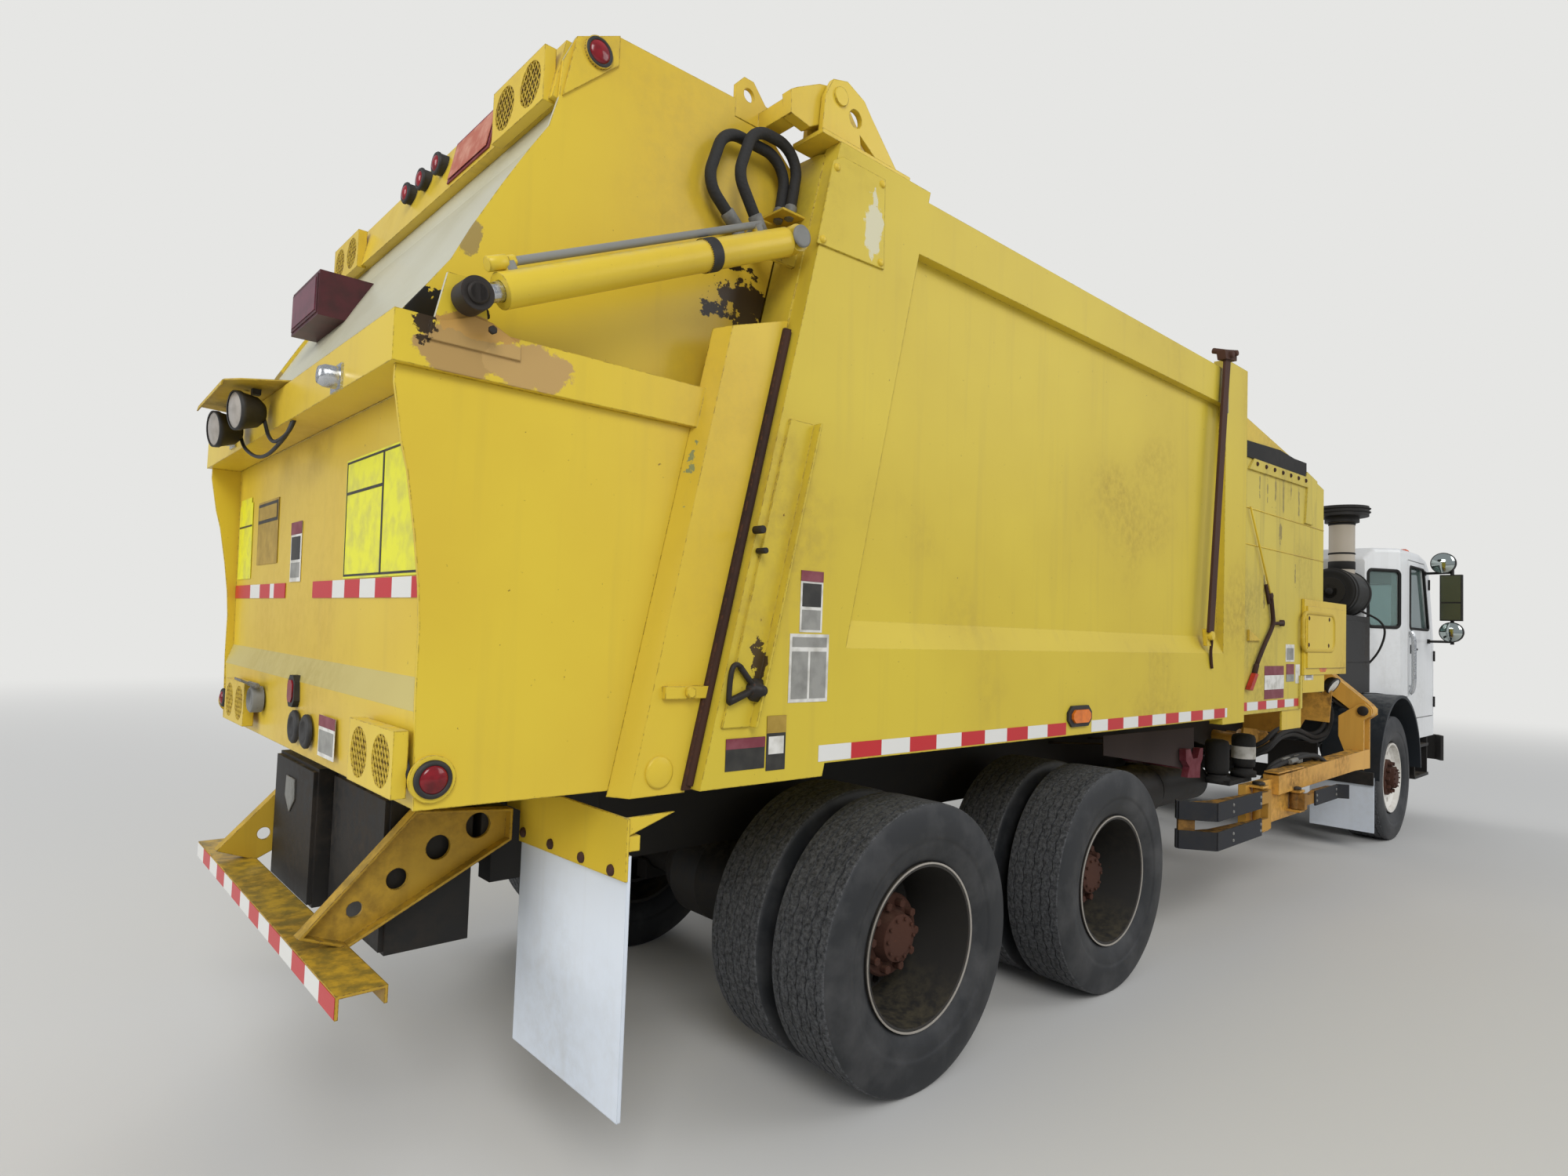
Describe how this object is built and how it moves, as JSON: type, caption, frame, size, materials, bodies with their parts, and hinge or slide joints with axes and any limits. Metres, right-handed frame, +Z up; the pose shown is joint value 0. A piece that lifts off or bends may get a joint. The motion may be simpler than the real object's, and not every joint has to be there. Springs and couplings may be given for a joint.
{
  "type": "garbage truck",
  "caption": "Automated side-loading garbage truck: low cab-over, tipping refuse body with lifting tailgate, open hopper and a side arm with a bin gripper.",
  "frame": {"origin": "on the ground, midway along the truck and on its centre line", "axes": "+X forward, +Y to the truck's left, +Z up"},
  "size_m": [10, 2.884, 3.4149],
  "materials": {
    "cab_paint": "gloss white, slightly grimy",
    "body_paint": "yellow enamel, scuffed",
    "arm_paint": "orange-yellow enamel, worn",
    "chassis_paint": "dusty black chassis paint",
    "white_rim": "white enamel",
    "rear_rim": "dark grey, dusty",
    "tyre": "dusty rubber",
    "black_rubber": "matt black rubber",
    "glass": "clear, slightly teal",
    "cylinder_steel": "painted barrel",
    "rod_chrome": "hard chrome",
    "cast_steel": "rusty cast steel",
    "tank_metal": "dusty aluminium",
    "black_plastic": "matt black moulding",
    "lamp_set": "lamp guards and lenses",
    "cab_trim": "dark grey trim and seats"
  },
  "bodies": {
    "chassis": {"chassis_frame": "chassis_paint", "rear_bumper": "chassis_paint", "front_axle": "chassis_paint", "suspension": "chassis_paint", "rear_axles": "chassis_paint", "prop_shafts": "chassis_paint", "engine_block": "cast_steel", "cooling_housing": "chassis_paint", "air_cleaner": "chassis_paint", "tanks": "tank_metal", "tool_boxes": "chassis_paint", "mud_flaps": "black_rubber", "fenders": "black_rubber", "cab_shell": "cab_paint", "cab_glass": "glass", "cab_interior": "cab_trim", "front_bumper": "cab_paint", "cab_steps": "chassis_paint", "arm_base": "arm_paint"},
    "refuse_body": {"body_shell": "body_paint", "body_hinges": "body_paint", "hopper": "body_paint", "hopper_hood": "body_paint", "service_box": "body_paint", "gate_hoses": "black_rubber"},
    "tailgate": {"tailgate_shell": "body_paint", "tailgate_belt": "body_paint", "light_bar": "lamp_set"},
    "hoist_cylinder": {"hoist_barrel": "chassis_paint"},
    "hoist_middle_stage": {"hoist_sleeve": "rod_chrome"},
    "hoist_inner_stage": {"hoist_rod": "rod_chrome"},
    "boom": {"boom": "arm_paint"},
    "forearm": {"forearm": "arm_paint"},
    "rear_finger": {"finger_rear": "arm_paint"},
    "front_finger": {"finger_front": "arm_paint"},
    "door_right": {"door_right": "cab_paint", "door_glass_right": "glass", "mirror_right": "black_plastic"},
    "knuckle_right": {"knuckle_right": "cast_steel"},
    "front_wheel_right": {"rim_front_right": "white_rim", "tyre_front_right": "tyre"},
    "gate_cylinder_right": {"cylinder_barrel_right": "cylinder_steel"},
    "gate_rod_right": {"cylinder_rod_right": "rod_chrome"},
    "rear_wheels_1_right": {"rims_rear_1_right": "rear_rim", "tyres_rear_1_right": "tyre"},
    "rear_wheels_2_right": {"rims_rear_2_right": "rear_rim", "tyres_rear_2_right": "tyre"},
    "door_left": {"door_left": "cab_paint", "door_glass_left": "glass", "mirror_left": "black_plastic"},
    "knuckle_left": {"knuckle_left": "cast_steel"},
    "front_wheel_left": {"rim_front_left": "white_rim", "tyre_front_left": "tyre"},
    "gate_cylinder_left": {"cylinder_barrel_left": "cylinder_steel"},
    "gate_rod_left": {"cylinder_rod_left": "rod_chrome"},
    "rear_wheels_1_left": {"rims_rear_1_left": "rear_rim", "tyres_rear_1_left": "tyre"},
    "rear_wheels_2_left": {"rims_rear_2_left": "rear_rim", "tyres_rear_2_left": "tyre"}
  },
  "joints": [
    {"name": "body_tip", "type": "hinge", "parent": "chassis", "child": "refuse_body", "pos_m": [-4.1, 0, 1.12], "axis": [0, -1, 0], "range_deg": [0, 45]},
    {"name": "tailgate_lift", "type": "hinge", "parent": "refuse_body", "child": "tailgate", "pos_m": [-3.68, 0, 3.35], "axis": [0, 1, 0], "range_deg": [0, 85.6]},
    {"name": "hoist_swing", "type": "hinge", "parent": "chassis", "child": "hoist_cylinder", "pos_m": [-2.45, 0, 0.83], "axis": [0, 1, 0], "range_deg": [0, 22.2]},
    {"name": "hoist_stage_1", "type": "slide", "parent": "hoist_cylinder", "child": "hoist_middle_stage", "axis": [-0.9239, 0, 0.3827], "range_m": [0, 0.308]},
    {"name": "hoist_stage_2", "type": "slide", "parent": "hoist_middle_stage", "child": "hoist_inner_stage", "axis": [-0.9239, 0, 0.3827], "range_m": [0, 0.308]},
    {"name": "boom_swing", "type": "hinge", "parent": "chassis", "child": "boom", "pos_m": [2.03, -0.55, 1.72], "axis": [-1, 0, 0], "range_deg": [0, 95]},
    {"name": "forearm_swing", "type": "hinge", "parent": "boom", "child": "forearm", "pos_m": [2.03, -1.247, 1.151], "axis": [-1, 0, 0], "range_deg": [0, 50]},
    {"name": "rear_finger_close", "type": "hinge", "parent": "forearm", "child": "rear_finger", "pos_m": [-0.14, -1.25, 0.65], "axis": [0, 0, 1], "range_deg": [0, 90]},
    {"name": "front_finger_close", "type": "hinge", "parent": "forearm", "child": "front_finger", "pos_m": [0.48, -1.25, 0.65], "axis": [0, 0, -1], "range_deg": [0, 90]},
    {"name": "door_right_hinge", "type": "hinge", "parent": "chassis", "child": "door_right", "pos_m": [4.775, -1.135, 1.6], "axis": [0, 0, 1], "range_deg": [0, 70]},
    {"name": "steering_right", "type": "hinge", "parent": "chassis", "child": "knuckle_right", "pos_m": [3.3, -0.85, 0.52], "axis": [0, 0, 1], "range_deg": [-35, 35]},
    {"name": "front_wheel_right_spin", "type": "hinge", "parent": "knuckle_right", "child": "front_wheel_right", "pos_m": [3.3, -0.992, 0.52], "axis": [0, 1, 0], "continuous": true},
    {"name": "gate_cylinder_right_swing", "type": "hinge", "parent": "refuse_body", "child": "gate_cylinder_right", "pos_m": [-3.852, -1.16, 2.823], "axis": [0, 1, 0], "range_deg": [0, 85.7]},
    {"name": "gate_rod_right_slide", "type": "slide", "parent": "gate_cylinder_right", "child": "gate_rod_right", "axis": [-0.9079, 0, -0.4192], "range_m": [0, 0.7535]},
    {"name": "rear_wheels_1_right_spin", "type": "hinge", "parent": "chassis", "child": "rear_wheels_1_right", "pos_m": [-3.12, -0.89, 0.505], "axis": [0, 1, 0], "continuous": true},
    {"name": "rear_wheels_2_right_spin", "type": "hinge", "parent": "chassis", "child": "rear_wheels_2_right", "pos_m": [-1.72, -0.89, 0.505], "axis": [0, 1, 0], "continuous": true},
    {"name": "door_left_hinge", "type": "hinge", "parent": "chassis", "child": "door_left", "pos_m": [4.775, 1.135, 1.6], "axis": [0, 0, -1], "range_deg": [0, 70]},
    {"name": "steering_left", "type": "hinge", "parent": "chassis", "child": "knuckle_left", "pos_m": [3.3, 0.85, 0.52], "axis": [0, 0, 1], "range_deg": [-35, 35]},
    {"name": "front_wheel_left_spin", "type": "hinge", "parent": "knuckle_left", "child": "front_wheel_left", "pos_m": [3.3, 0.992, 0.52], "axis": [0, 1, 0], "continuous": true},
    {"name": "gate_cylinder_left_swing", "type": "hinge", "parent": "refuse_body", "child": "gate_cylinder_left", "pos_m": [-3.852, 1.16, 2.823], "axis": [0, 1, 0], "range_deg": [0, 85.7]},
    {"name": "gate_rod_left_slide", "type": "slide", "parent": "gate_cylinder_left", "child": "gate_rod_left", "axis": [-0.9079, 0, -0.4192], "range_m": [0, 0.7535]},
    {"name": "rear_wheels_1_left_spin", "type": "hinge", "parent": "chassis", "child": "rear_wheels_1_left", "pos_m": [-3.12, 0.89, 0.505], "axis": [0, 1, 0], "continuous": true},
    {"name": "rear_wheels_2_left_spin", "type": "hinge", "parent": "chassis", "child": "rear_wheels_2_left", "pos_m": [-1.72, 0.89, 0.505], "axis": [0, 1, 0], "continuous": true}
  ],
  "couplings": [
    {"joint": "tailgate_lift", "follows": "body_tip", "ratio": 1.9},
    {"joint": "hoist_swing", "follows": "body_tip", "ratio": 0.48909},
    {"joint": "hoist_stage_1", "follows": "body_tip", "m_per_rad": 0.39097},
    {"joint": "hoist_stage_2", "follows": "body_tip", "m_per_rad": 0.39097},
    {"joint": "front_finger_close", "follows": "rear_finger_close", "ratio": 1},
    {"joint": "gate_cylinder_right_swing", "follows": "body_tip", "ratio": 1.901},
    {"joint": "gate_rod_right_slide", "follows": "body_tip", "m_per_rad": 0.95824},
    {"joint": "gate_cylinder_left_swing", "follows": "body_tip", "ratio": 1.901},
    {"joint": "gate_rod_left_slide", "follows": "body_tip", "m_per_rad": 0.95824},
    {"joint": "steering_left", "follows": "steering_right", "ratio": 1}
  ]
}
